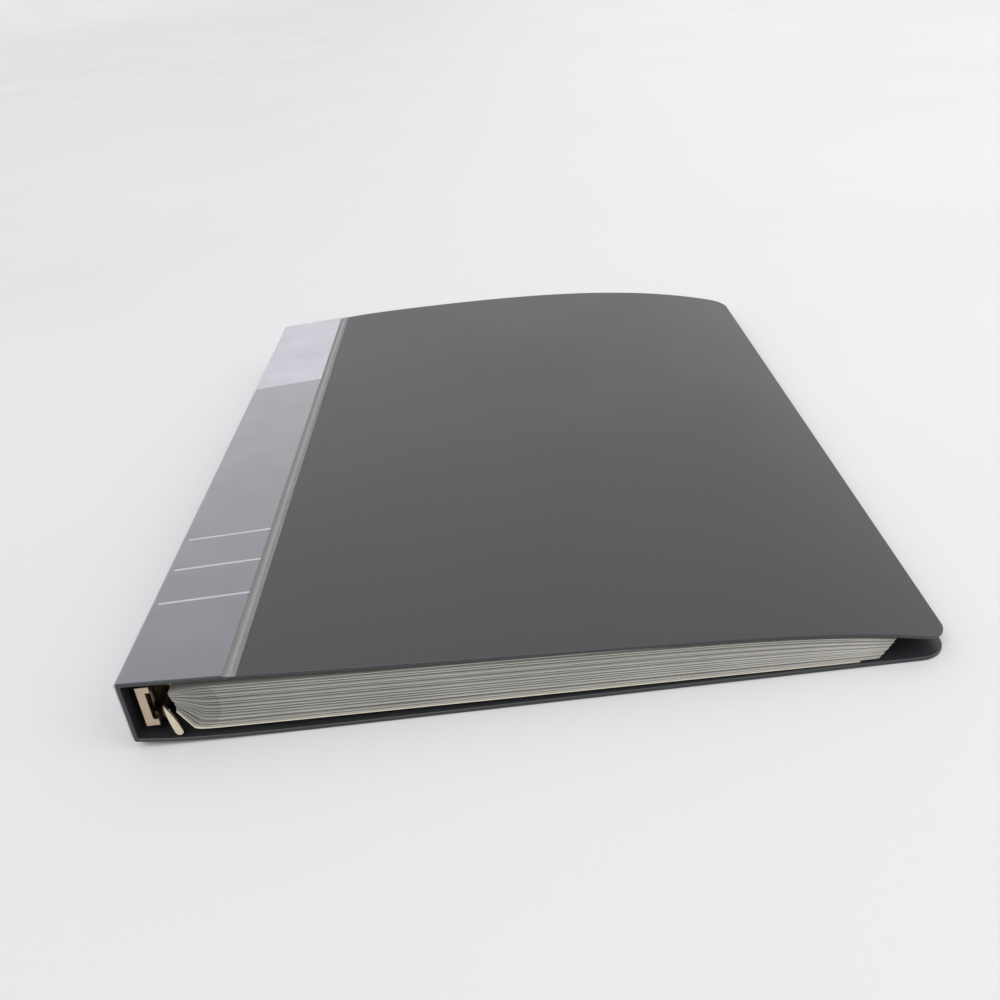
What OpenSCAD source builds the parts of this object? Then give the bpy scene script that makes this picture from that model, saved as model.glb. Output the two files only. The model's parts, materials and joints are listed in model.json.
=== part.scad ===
// Business card binder, lying closed on its back cover.
// A creased plastic sheet makes the two covers and the spine. A many-ring metal mechanism is
// riveted inside the spine, and punched card leaves hang on its rings.
// x runs from the spine to the fore-edge, y along the spine from the near end, z up.

/* [Covers] */
// Width from the spine's outer face to the fore-edge
cover_w = 235; // [195:1:282]
// Length along the spine
cover_h = 310; // [258:1:372]
// Thickness of the cover sheet
sheet_t = 1.2; // [1:0.1:1.5]
// Outer height of the spine panel
spine_h = 20.8; // [19:0.1:26]
// Height at which the back fold stands off the table
spine_lift = 2.7; // [1:0.1:4]
// Distance from the spine over which that lift fades out
lift_end = 60; // [40:1:90]
// Radius of the two fore-edge corners
corner_r = 7.5; // [3:0.5:15]
// Height of the front cover's top face at the fore-edge
fore_edge_z = 6.7; // [6:0.1:9]
// Radial play round each fold
fold_play = 0.05; // [0.02:0.01:0.1]

/* [Front cover curve] */
// Width of the straight strip that is left bare beside the label's weld
strip_rest = 1.5; // [1:0.1:4]
// Rise of that strip's inner edge at the near end
strip_rise_near = -1.5; // [-2:0.1:0]
// Rise of that strip's inner edge at the far end
strip_rise_far = 1.3; // [0:0.1:2]
// Strength of the slight crown at the near end
crown_near = 5.8; // [4:0.1:8]
// Strength of the full crown at the far end
crown_far = 15.2; // [10:0.1:20]

/* [Label] */
// Width of the label card on the front cover
label_w = 29.2; // [20:0.1:31]
// Thickness of the label card
label_t = 0.25; // [0.2:0.05:0.4]
// Thickness of the clear sleeve film
film_t = 0.2; // [0.15:0.05:0.3]
// Play between sheet, label card and film
label_play = 0.02; // [0.01:0.01:0.05]
// Width of the sleeve's welded band
weld_w = 4; // [2:0.1:4]
// Distance of the label from the folds
label_inset = 1.3; // [1.2:0.1:3]

/* [Ring mechanism] */
// Room between the channel and the spine's two outer edges
chan_room = 3.5; // [3:0.1:5]
// Depth of the channel
chan_d = 4.2; // [4:0.1:5]
// Thickness of the channel's steel
chan_t = 0.8; // [0.6:0.05:0.9]
// Height of each flange with its turned lip
lip_h = 2.2; // [1.6:0.1:2.6]
// Distance between the spine and the channel
standoff = 2.7; // [2:0.1:4]
// Distance of the channel's ends from the covers' ends
chan_inset = 2; // [1:0.5:10]
// Least distance from the first and last ring to the covers' ends
ring_end = 17; // [16:0.5:30]
// Distance from ring to ring
ring_pitch = 9.5; // [7.9:0.1:10]
// Radius of the ring wire
wire_r = 1.05; // [0.85:0.05:1.3]
// Room between the rings and the covers
ring_clear = 2; // [1.8:0.05:2.4]
// Depth to which the rings' circle dips behind the channel's mouth
ring_dip = 0.75; // [0.5:0.05:1]
// Gap between the closed ring tips
tip_gap = 0.1; // [0.05:0.01:0.2]
// Thickness of the two hinge blades
blade_t = 0.8; // [0.6:0.1:0.9]
// Radius of the bead that each blade turns on
bead_r = 0.7; // [0.6:0.05:0.8]
// Running play of beads, pin and ring feet
run_play = 0.05; // [0.03:0.01:0.1]

/* [Release lever] */
// Radius of the lever's pin
pin_r = 0.75; // [0.6:0.05:0.9]
// Wall of the lever's barrel round the pin
barrel_wall = 0.5; // [0.4:0.05:0.6]
// Distance from the channel's end to the pin
pivot_inset = 4.5; // [4:0.1:6]
// Width of the thumb tongue
tongue_w = 2.4; // [2.2:0.1:3.2]
// Length of the thumb tongue
tongue_l = 11.1; // [9:0.1:11.5]
// Thickness of the lever's plate
tongue_t = 1.1; // [0.8:0.1:1.3]

/* [Rivets] */
// Number of rivets that hold the channel
rivet_count = 3; // [2:1:4]
// Radius of a rivet's shank
rivet_r = 1.5; // [1.2:0.1:1.8]
// Radius of a rivet's heads
rivet_head_r = 2.6; // [2.2:0.1:3]
// Thickness of a rivet's heads
rivet_head_t = 0.55; // [0.4:0.05:0.6]
// Radius of a spacer collar
spacer_r = 3.2; // [2.8:0.1:4]

/* [Leaves] */
// Number of card leaves
leaf_count = 15; // [10:1:15]
// Thickness of a leaf
leaf_t = 0.2; // [0.15:0.01:0.24]
// Distance of the leaves from the covers' near end
leaf_inset = 1.3; // [1:0.1:3]
// Distance of the leaves from the covers' far end
leaf_far_inset = 3.7; // [1:0.1:8]
// Distance from the fore-edge to the index sheet
index_inset = 24; // [15:1:40]
// Distance from the fore-edge to the lowest leaf
fore_inset_low = 19; // [12:1:40]
// Distance from the fore-edge to the top leaf
fore_inset_top = 14; // [8:1:30]
// Radius of a punched hole
hole_r = 3; // [2.5:0.1:3]
// Distance from the hole's centre to the leaf's edge
edge_margin = 4.1; // [3.8:0.1:4.2]
// Distance from the hole's centre to the bend of the leaf
bend_run = 4.2; // [3.6:0.1:6]
// Radius of the leaves' fore-edge corners
leaf_corner_r = 1.5; // [1:0.5:8]
// Room under the lowest sheet at its fore-edge
low_clear = 0.15; // [0.1:0.05:0.5]
// Room over the top leaf at its fore-edge
top_clear = 0.9; // [0.6:0.05:1.5]

/* [Hidden] */
$fn = 48;
CHARCOAL = "#4d5052";
CARD_GREY = "#8b8f98";
CLEAR = "#d8dde044";
NICKEL = "#c9c2b0";
FILM_GREY = "#c6c8c0";
PAPER = "#e9e2cf";
// How far cuts run past the faces they open
cut = 1;
y_near = -cover_h / 2;
fold_r = sheet_t / 2;
mitre_gap = 0.2;
label_stack = label_t + film_t + 2 * label_play;
// Places of the label: its inner edge, its outer edge and the end of the weld
label_x = [label_inset, label_inset + label_w, label_inset + label_w + weld_w];
strip_w = label_x[2] + strip_rest;
x_shift = -(cover_w - label_stack) / 2;
// How steeply the back cover's lift fades, and where its bends stand
lift_decay = 3.75;
lift_spread = 1.5;
lift_steps = 10;
// Powers of the rise and the fall of the crown at the near and the far end
near_powers = [1.2, 8];
far_powers = [0.8, 4];
spine_top = spine_lift + spine_h;
mid_z = spine_lift + spine_h / 2;
front_axis_z = spine_top - fold_r;
back_axis_z = lift(fold_r) + fold_r;
chan_h = spine_h - 2 * chan_room;
chan_x = sheet_t + standoff;
chan_mouth = chan_x + chan_d;
chan_len = cover_h - 2 * chan_inset;
ring_count = 2 * floor(((cover_h - 2 * ring_end) / ring_pitch + 1) / 2);
ring_r = spine_h / 2 - sheet_t - wire_r - ring_clear;
ring_x = chan_mouth + ring_r - ring_dip;
// Angle at which a ring's arc ends, and how far its foot goes past the blade's middle
foot_angle = 125;
foot_past = 0.5;
notch_play = 0.65;
bead_room = 0.4;
bead_x = chan_mouth - chan_t - bead_r - bead_room;
bead_dz = chan_h / 2 - chan_t - bead_r - 2 * run_play;
blade_gap = 0.15;
// Depth of the slot in each end plate of the channel
end_slot = 1.5;
barrel_room = 0.2;
barrel_end_room = 0.5;
barrel_r = pin_r + run_play + barrel_wall;
barrel_h = chan_h - 2 * lip_h - 2 * barrel_end_room;
pivot_x = chan_x + chan_t + barrel_r + barrel_room;
pivot_y = y_near + chan_inset + pivot_inset;
// The lever's tail, which reaches under the ends of both blades
tail_l = 3;
tail_t = 0.5;
tail_w = 2;
tail_reach = 0.6;
blade_y = pivot_y + tail_l - tail_reach;
// The lever's arm, which goes out of the channel's mouth to the back of the tongue
arm_w = 3.2;
arm_reach = 5.9;
tongue_reach = 6.4;
tongue_inset = 0.4;
tongue_lean = 13;
tongue_clear = 0.5;
tongue_x = pivot_x + tongue_reach;
tongue_y = y_near + tongue_inset;
tongue_z = lift(tongue_x) + sheet_t + tongue_clear;
arm_run = [arm_reach, tongue_y + tongue_t / 2 - pivot_y];
pin_head_t = 0.4;
// Rivets stand midway between two rings, over four fifths of the rings' length
rivet_step = 2 * floor(ring_count * 2 / 5 / (rivet_count - 1));
ring_ys = [for (i = [0 : ring_count - 1]) (i - (ring_count - 1) / 2) * ring_pitch];
rivet_ys = [for (i = [0 : rivet_count - 1]) (i - (rivet_count - 1) / 2) * rivet_step * ring_pitch];
// The fan of leaf margins on the ring, as angles from the fore-edge side
fan_low = -62;
fan_top = 50;
// Slopes of the lowest and the top margin
margin_low = -60;
margin_top = 5;
// How strongly the top leaf droops at the fore-edge, and how late
droop = 0.43;
droop_power = 8;
leaf_stations = [0, 0.1, 0.25, 0.45, 0.65, 0.8, 0.9, 0.96, 1];
leaf_ends = [y_near + leaf_inset, -y_near - leaf_far_inset];
cover_steps = 14;
length_steps = 4;

// Curves of the covers

// Height of the back cover's underside, which falls from the fold to the table
function lift(x) = spine_lift * max(0, exp(-lift_decay * x / lift_end) - exp(-lift_decay))
    / (1 - exp(-lift_decay));

function lerp(a, b, t) = a + (b - a) * t;

// Height of the front cover's top face: a straight strip, then a crowned chord to the fore-edge
function strip_z(x, v) = spine_top + lerp(strip_rise_near, strip_rise_far, v) * x / strip_w;
function bulge(u, powers) = pow(u, powers[0]) - pow(u, powers[1]);
function crown(u, v) = lerp(crown_near * bulge(u, near_powers), crown_far * bulge(u, far_powers), v);
function chord_z(u, v) = lerp(strip_z(strip_w, v), fore_edge_z, u);
function front_z(x, v) = x <= strip_w ? strip_z(x, v)
    : let (u = (x - strip_w) / (cover_w - strip_w)) chord_z(u, v) + crown(u, v);

// A sheet that follows the front cover: stations are [x, lower offset, upper offset]
module ruled_sheet(stations, y_from, y_to) {
    n = len(stations);
    rows = length_steps + 1;
    ys = [for (j = [0 : length_steps]) lerp(y_from, y_to, j / length_steps)];
    points = [
        for (side = [1, 2])
        for (j = [0 : length_steps])
        for (s = stations)
        [s[0], ys[j], front_z(s[0], (ys[j] - y_near) / cover_h) + s[side]]
    ];
    low = function (i, j) j * n + i;
    top = function (i, j) rows * n + j * n + i;
    faces = concat(
        [for (j = [0 : rows - 2]) for (i = [0 : n - 2]) each [
            [top(i, j), top(i, j + 1), top(i + 1, j)],
            [top(i + 1, j), top(i, j + 1), top(i + 1, j + 1)],
            [low(i, j), low(i + 1, j), low(i, j + 1)],
            [low(i + 1, j), low(i + 1, j + 1), low(i, j + 1)]
        ]],
        [for (i = [0 : n - 2]) each [
            [low(i, 0), top(i, 0), low(i + 1, 0)],
            [low(i + 1, 0), top(i, 0), top(i + 1, 0)],
            [low(i, rows - 1), low(i + 1, rows - 1), top(i, rows - 1)],
            [low(i + 1, rows - 1), top(i + 1, rows - 1), top(i, rows - 1)]
        ]],
        [for (j = [0 : rows - 2]) each [
            [low(0, j), low(0, j + 1), top(0, j)],
            [low(0, j + 1), top(0, j + 1), top(0, j)],
            [low(n - 1, j), top(n - 1, j), low(n - 1, j + 1)],
            [low(n - 1, j + 1), top(n - 1, j), top(n - 1, j + 1)]
        ]]
    );
    polyhedron(points, faces);
}

// Shared shapes

// Places a piece in the part's frame, whose origin is below the middle of the binder
module place() {
    translate([x_shift, 0, 0])
        children();
}

// A profile drawn in x and z, carried along y from one end to the other
module along_y(y_from, y_to) {
    translate([0, y_to, 0])
        rotate([90, 0, 0])
            linear_extrude(height = y_to - y_from)
                children();
}

// A round rod along y
module rod_y(x, z, r, y_from, y_to) {
    translate([x, y_to, z])
        rotate([90, 0, 0])
            cylinder(h = y_to - y_from, r = r);
}

// A round rod along x
module rod_x(y, z, r, x_from, x_to) {
    translate([x_from, y, z])
        rotate([0, 90, 0])
            cylinder(h = x_to - x_from, r = r);
}

// What is cut away outside a rounded fore-edge corner at each end
module corner_cuts(x_end, y_ends, r, height) {
    for (e = [0, 1]) {
        inward = e == 0 ? 1 : -1;
        translate([x_end - r, y_ends[e] + inward * r, -cut])
            difference() {
                translate([0, e == 0 ? -2 * r : 0, 0])
                    cube([2 * r, 2 * r, height + 2 * cut]);
                translate([0, 0, -cut])
                    cylinder(h = height + 4 * cut, r = r);
            }
    }
}

// Covers

// What is cut from a cover at its fold: room for the spine's bead, and a mitre on the inner side
module fold_cut(axis_z, inward) {
    reach = inward * 2 * sheet_t;
    rod_y(fold_r, axis_z, fold_r + fold_play, y_near - cut, cut - y_near);
    along_y(y_near - cut, cut - y_near)
        polygon([[fold_r, axis_z], [fold_r + 2 * sheet_t, axis_z + reach], [fold_r, axis_z + reach]]);
}

module back_cover() {
    bends = [for (i = [1 : lift_steps]) lift_end * pow(i / lift_steps, lift_spread)];
    xs = concat([fold_r], bends, [cover_w]);
    outline = concat(
        [for (x = xs) [x, lift(x)]],
        [for (i = [len(xs) - 1 : -1 : 0]) [xs[i], lift(xs[i]) + sheet_t]]
    );
    color(CHARCOAL)
        place()
            difference() {
                along_y(y_near, -y_near)
                    polygon(outline);
                fold_cut(back_axis_z, 1);
                corner_cuts(cover_w, [y_near, -y_near], corner_r, 2 * sheet_t);
            }
}

module spine_panel() {
    mitre = fold_r + mitre_gap;
    color(CHARCOAL)
        place()
            difference() {
                union() {
                    rod_y(fold_r, back_axis_z, fold_r, y_near, -y_near);
                    rod_y(fold_r, front_axis_z, fold_r, y_near, -y_near);
                    along_y(y_near, -y_near)
                        polygon([
                            [0, back_axis_z], [fold_r, back_axis_z], [sheet_t, back_axis_z + mitre],
                            [sheet_t, front_axis_z - mitre], [fold_r, front_axis_z], [0, front_axis_z]
                        ]);
                }
                for (y = rivet_ys) {
                    rod_x(y, mid_z, rivet_r + run_play, -cut, sheet_t + cut);
                    rod_x(y, mid_z, rivet_head_r + run_play, -cut, rivet_head_t + run_play);
                }
            }
}

module front_cover() {
    strip_xs = concat([fold_r], label_x, [strip_w]);
    crown_xs = [for (i = [1 : cover_steps])
        lerp(strip_w, cover_w, (1 - cos(180 * i / cover_steps)) / 2)];
    color(CHARCOAL)
        place()
            difference() {
                ruled_sheet([for (x = concat(strip_xs, crown_xs)) [x, -sheet_t, 0]], y_near, -y_near);
                fold_cut(front_axis_z, -1);
                corner_cuts(cover_w, [y_near, -y_near], corner_r, 2 * spine_top);
            }
}

// Label and its clear sleeve, which start on the spine and go over the fold to the front

module label_card_front() {
    color(CARD_GREY)
        place()
            ruled_sheet([for (i = [0, 1]) [label_x[i], label_play, label_play + label_t]],
                        y_near, -y_near);
}

module label_sleeve_front() {
    raised = label_t + 2 * label_play;
    heights = [raised, raised, label_play];
    color(CLEAR)
        place()
            ruled_sheet([for (i = [0 : 2]) [label_x[i], heights[i], heights[i] + film_t]],
                        y_near, -y_near);
}

module label_card_spine() {
    color(CARD_GREY)
        place()
            translate([-label_play - label_t, y_near, back_axis_z + label_inset])
                cube([label_t, cover_h, front_axis_z - back_axis_z - 2 * label_inset]);
}

module label_sleeve_spine() {
    outer = -label_stack;
    low = back_axis_z;
    high = front_axis_z - label_inset;
    color(CLEAR)
        place()
            along_y(y_near, -y_near)
                polygon([
                    [-label_play, low], [-label_play, low + label_inset / 2],
                    [outer + film_t, low + label_inset], [outer + film_t, high],
                    [outer, high], [outer, low + label_inset / 2], [-label_play - film_t, low]
                ]);
}

// Ring mechanism

module ring_channel() {
    flange_z = mid_z - chan_h / 2;
    notch_w = 2 * wire_r + 2 * notch_play;
    notch_x = bead_x + bead_r;
    color(NICKEL)
        place()
            difference() {
                union() {
                    translate([chan_x, y_near + chan_inset, flange_z])
                        cube([chan_t, chan_len, chan_h]);
                    for (dz = [0, chan_h - chan_t])
                        translate([chan_x, y_near + chan_inset, flange_z + dz])
                            cube([chan_d, chan_len, chan_t]);
                    for (dz = [0, chan_h - lip_h])
                        translate([chan_mouth - chan_t, y_near + chan_inset, flange_z + dz])
                            cube([chan_t, chan_len, lip_h]);
                    for (dy = [0, chan_len - chan_t])
                        translate([chan_x, y_near + chan_inset + dy, flange_z])
                            cube([chan_d - end_slot, chan_t, chan_h]);
                    for (dy = [0, chan_len - chan_t])
                        for (dz = [0, chan_h - lip_h])
                            translate([chan_x, y_near + chan_inset + dy, flange_z + dz])
                                cube([chan_d, chan_t, lip_h]);
                }
                for (y = ring_ys)
                    for (dz = [0, chan_h - lip_h])
                        translate([notch_x, y - notch_w / 2, flange_z + dz - cut])
                            cube([chan_d, notch_w, lip_h + 2 * cut]);
                for (y = rivet_ys)
                    rod_x(y, mid_z, rivet_r + run_play, chan_x - cut, chan_x + chan_t + cut);
                translate([pivot_x, pivot_y, flange_z - cut])
                    cylinder(h = chan_h + 2 * cut, r = pin_r + run_play);
            }
}

// The straight foot of a ring half, which goes through its blade
module ring_foot(r) {
    foot_l = (ring_x + ring_r * cos(foot_angle) - bead_x + foot_past) / sin(foot_angle);
    rotate([0, -foot_angle, 0])
        translate([ring_r, 0, 0])
            cylinder(h = foot_l, r = r);
}

// Half of a ring: its foot, and an arc from the foot back to the tip
module ring_half() {
    tip_angle = tip_gap / 2 / ring_r * 180 / PI;
    ring_foot(wire_r);
    rotate([0, -foot_angle, 0])
        mirror([0, 0, 1])
            rotate([90, 0, 0])
                rotate_extrude(angle = foot_angle - tip_angle)
                    translate([ring_r, 0])
                        circle(r = wire_r);
}

// Puts the upper piece in place, or turns it over about the mechanism's middle
module on_side(side) {
    translate([0, 0, mid_z])
        mirror([0, 0, side > 0 ? 0 : 1])
            children();
}

module blade(side) {
    color(NICKEL)
        place()
            on_side(side)
                difference() {
                    union() {
                        rod_y(bead_x, bead_dz, bead_r, blade_y, -blade_y);
                        translate([bead_x - blade_t / 2, blade_y, blade_gap])
                            cube([blade_t, -2 * blade_y, bead_dz - blade_gap]);
                    }
                    for (y = ring_ys)
                        translate([ring_x, y, 0])
                            ring_foot(wire_r + run_play);
                }
}

module rings(side) {
    color(NICKEL)
        place()
            on_side(side)
                for (y = ring_ys)
                    translate([ring_x, y, 0])
                        ring_half();
}

module upper_blade() {
    blade(1);
}

module lower_blade() {
    blade(-1);
}

module upper_rings() {
    rings(1);
}

module lower_rings() {
    rings(-1);
}

// A thumb tongue, round at the foot and pointed at the tip, which faces the near end
module tongue() {
    half = tongue_w / 2;
    side_l = tongue_l - half;
    side_r = (side_l * side_l + half * half) / tongue_w;
    rod_y(half, half, half, 0, tongue_t);
    intersection() {
        rod_y(tongue_w - side_r, half, side_r, 0, tongue_t);
        rod_y(side_r, half, side_r, 0, tongue_t);
        translate([0, -cut, half])
            cube([tongue_w, tongue_t + 2 * cut, side_l + cut]);
    }
}

module release_lever() {
    color(NICKEL)
        place()
            difference() {
                union() {
                    translate([pivot_x, pivot_y, mid_z - barrel_h / 2])
                        cylinder(h = barrel_h, r = barrel_r);
                    translate([pivot_x, pivot_y, mid_z - barrel_h / 2])
                        rotate([0, 0, atan2(arm_run.y, arm_run.x)])
                            translate([0, -tongue_t / 2, 0])
                                cube([norm(arm_run), tongue_t, arm_w]);
                    translate([pivot_x - barrel_r, pivot_y, mid_z - tail_w / 2])
                        cube([tail_t, tail_l, tail_w]);
                    translate([tongue_x, tongue_y, tongue_z])
                        rotate([0, -tongue_lean, 0])
                            tongue();
                }
                translate([pivot_x, pivot_y, mid_z - chan_h])
                    cylinder(h = 2 * chan_h, r = pin_r + run_play);
            }
}

module lever_pin() {
    color(NICKEL)
        place()
            translate([pivot_x, pivot_y, mid_z - chan_h / 2]) {
                cylinder(h = chan_h, r = pin_r);
                for (z = [-pin_head_t, chan_h])
                    translate([0, 0, z])
                        cylinder(h = pin_head_t, r = pin_r + barrel_wall);
            }
}

module spine_rivets() {
    inner_face = chan_x + chan_t;
    color(NICKEL)
        place()
            for (y = rivet_ys) {
                rod_x(y, mid_z, rivet_head_r, run_play, rivet_head_t);
                rod_x(y, mid_z, rivet_r, rivet_head_t, inner_face);
                rod_x(y, mid_z, rivet_head_r, inner_face, inner_face + rivet_head_t);
            }
}

module rivet_spacers() {
    color(NICKEL)
        place()
            for (y = rivet_ys)
                difference() {
                    rod_x(y, mid_z, spacer_r, sheet_t, chan_x);
                    rod_x(y, mid_z, rivet_r + run_play, sheet_t - cut, chan_x + cut);
                }
}

// Leaves, counted from the index sheet at the bottom, which is sheet 0

function leaf_name(s) = str("leaf_", s < 10 ? "0" : "", s);
function fan_angle(s) = lerp(fan_low, fan_top, s / leaf_count);
function margin_angle(s) = lerp(margin_low, margin_top, s / leaf_count);
function hole_at(s) = [ring_x, mid_z] + ring_r * [cos(fan_angle(s)), sin(fan_angle(s))];
function margin_at(s, run) = hole_at(s) + run * [cos(margin_angle(s)), sin(margin_angle(s))];
function fore_inset(s) = s == 0 ? index_inset : lerp(fore_inset_low, fore_inset_top, s / leaf_count);
function leaf_end_x(s) = cover_w - fore_inset(s);
function leaf_end_z(s) = lerp(sheet_t + low_clear,
    front_z(leaf_end_x(leaf_count), 0) - sheet_t - top_clear, s / leaf_count);
// How a leaf falls from its bend to the fore-edge: straight at the bottom, drooping at the top
function leaf_fall(w, t) = lerp(w, pow(w, droop_power), droop * t);
function leaf_path(s) = let (bend = margin_at(s, bend_run), end = [leaf_end_x(s), leaf_end_z(s)])
    concat([margin_at(s, -edge_margin)],
        [for (w = leaf_stations)
            [lerp(bend.x, end.x, w), lerp(bend.y, end.y, leaf_fall(w, s / leaf_count))]]);
function side_of(path, i) = let (
        last = len(path) - 1,
        run = path[min(i + 1, last)] - path[max(i - 1, 0)]
    ) [-run.y, run.x] / norm(run);

module sheet(s, tone) {
    path = leaf_path(s);
    last = len(path) - 1;
    hole = hole_at(s);
    color(tone)
        place()
            difference() {
                along_y(leaf_ends[0], leaf_ends[1])
                    polygon(concat(
                        [for (i = [0 : last]) path[i] - side_of(path, i) * leaf_t / 2],
                        [for (i = [last : -1 : 0]) path[i] + side_of(path, i) * leaf_t / 2]
                    ));
                corner_cuts(leaf_end_x(s), leaf_ends, leaf_corner_r, spine_top);
                for (y = ring_ys)
                    translate([hole.x, y, hole.y])
                        rotate([0, -margin_angle(s), 0])
                            cylinder(h = 4 * leaf_t, r = hole_r, center = true);
            }
}

module index_sheet() {
    sheet(0, PAPER);
}

module leaf(s) {
    sheet(s, FILM_GREY);
}

back_cover();
spine_panel();
front_cover();
label_card_front();
label_card_spine();
label_sleeve_front();
label_sleeve_spine();
ring_channel();
spine_rivets();
rivet_spacers();
upper_blade();
lower_blade();
upper_rings();
lower_rings();
release_lever();
lever_pin();
index_sheet();
for (s = [1 : leaf_count]) leaf(s);
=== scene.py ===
"""Looks of a business card binder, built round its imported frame.

The formulas work in millimetres, with x from the spine's outer face towards the fore-edge, y along the
spine from its middle, and z up from the table. place() turns them into the frame's metres.
"""

import json
import math
from types import SimpleNamespace

import bpy
import numpy as np
from bpy.props import FloatProperty, FloatVectorProperty, IntProperty, PointerProperty
from mathutils import Matrix, Vector


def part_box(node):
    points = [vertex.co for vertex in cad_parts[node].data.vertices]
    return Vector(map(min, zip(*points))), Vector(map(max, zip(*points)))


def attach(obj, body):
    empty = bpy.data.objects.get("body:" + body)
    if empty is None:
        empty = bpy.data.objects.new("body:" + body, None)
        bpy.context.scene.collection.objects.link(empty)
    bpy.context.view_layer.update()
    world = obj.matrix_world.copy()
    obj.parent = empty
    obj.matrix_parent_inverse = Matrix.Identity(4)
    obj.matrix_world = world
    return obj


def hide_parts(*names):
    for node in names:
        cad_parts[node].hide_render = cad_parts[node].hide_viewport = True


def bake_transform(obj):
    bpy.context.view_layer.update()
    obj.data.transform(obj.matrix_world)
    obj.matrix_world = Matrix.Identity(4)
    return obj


bl_info = {
    "name": "Business card binder",
    "version": (1, 0, 0),
    "blender": (4, 5, 0),
    "location": "3D View > Sidebar > Binder",
    "description": "Builds the covers, label, ring mechanism and leaves of a card binder",
    "category": "Object",
}

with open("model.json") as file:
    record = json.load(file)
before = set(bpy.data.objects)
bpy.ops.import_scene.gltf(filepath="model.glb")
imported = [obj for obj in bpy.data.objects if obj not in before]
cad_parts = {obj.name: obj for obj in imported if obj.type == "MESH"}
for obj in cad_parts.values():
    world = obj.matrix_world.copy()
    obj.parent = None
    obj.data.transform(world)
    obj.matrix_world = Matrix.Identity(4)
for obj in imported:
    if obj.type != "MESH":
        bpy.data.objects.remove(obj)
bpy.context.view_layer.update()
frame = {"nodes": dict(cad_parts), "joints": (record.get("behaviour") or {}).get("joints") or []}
MM = 0.001
SPINE_LOW, SPINE_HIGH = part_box("spine_panel")
BACK_LOW, BACK_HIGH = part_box("back_cover")
JOINTS = {joint["name"]: joint for joint in frame["joints"]}
RING_CENTRE = JOINTS["index_sheet_turn"]["pos_m"]
LEAVES = sorted(name for name in frame["nodes"] if name.startswith("leaf_"))
STEEL_NODES = (
    "ring_channel", "spine_rivets", "rivet_spacers", "upper_blade", "lower_blade",
    "upper_rings", "lower_rings", "release_lever", "lever_pin",
)
# Powers of the front cover's crown at its near and far ends: the rising one, then the steeper one.
NEAR_CROWN = (1.2, 8)
FAR_CROWN = (0.8, 4)
# The label's cross lines and the start of its pale block, in millimetres from the near end.
LABEL_LINES = (40.4, 60.6, 80.6)
LABEL_BLOCK = 220.5
# Run in millimetres over which the sleeve comes down from the card to its weld.
WELD_RUN = 1.2
# Most values of a noise texture lie in this range.
NOISE_RANGE = (0.3, 0.7)


def linear(code):
    """Linear red, green and blue of an sRGB hex colour such as #336699."""
    srgb = np.array([int(code[i:i + 2], 16) for i in (1, 3, 5)]) / 255
    return tuple(np.where(srgb <= 0.04045, srgb / 12.92, ((srgb + 0.055) / 1.055) ** 2.4).tolist())


def length(name, description, millimetres):
    """A length property, stored in metres."""
    return FloatProperty(
        name=name, description=description, default=millimetres * MM, unit="LENGTH", precision=5
    )


def colour(name, description, code):
    """A colour property, stored as linear values."""
    return FloatVectorProperty(
        name=name, description=description, default=linear(code), subtype="COLOR", size=3, min=0, max=1
    )


# Settings


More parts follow.
